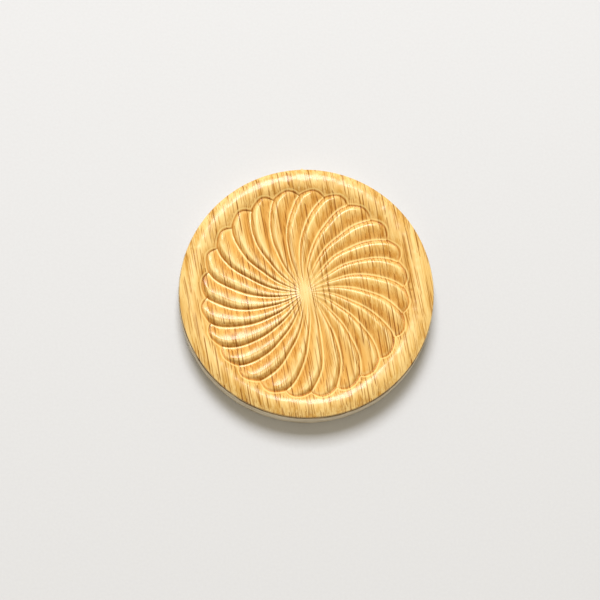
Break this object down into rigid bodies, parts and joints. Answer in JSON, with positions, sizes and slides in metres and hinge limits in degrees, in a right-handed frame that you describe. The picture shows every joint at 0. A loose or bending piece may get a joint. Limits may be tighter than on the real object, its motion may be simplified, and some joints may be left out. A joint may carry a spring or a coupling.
{
  "type": "butter mold",
  "caption": "Small round wooden butter print: an oak face carved with a swirl of petals inside a raised rim, glued to a pale backing disc.",
  "frame": {"origin": "centre of the flat back, which the disc rests on", "axes": "+Z out of the carved face, +Y towards twelve o'clock on the face, +X to the right as the face is looked at"},
  "size_m": [0.076, 0.076, 0.009],
  "materials": {
    "oak": "gloss",
    "glue": "matte",
    "pale_wood": "matte"
  },
  "bodies": {
    "root": {"carved_face": "oak", "glue_film": "glue", "backing_disc": "pale_wood"}
  },
  "joints": []
}
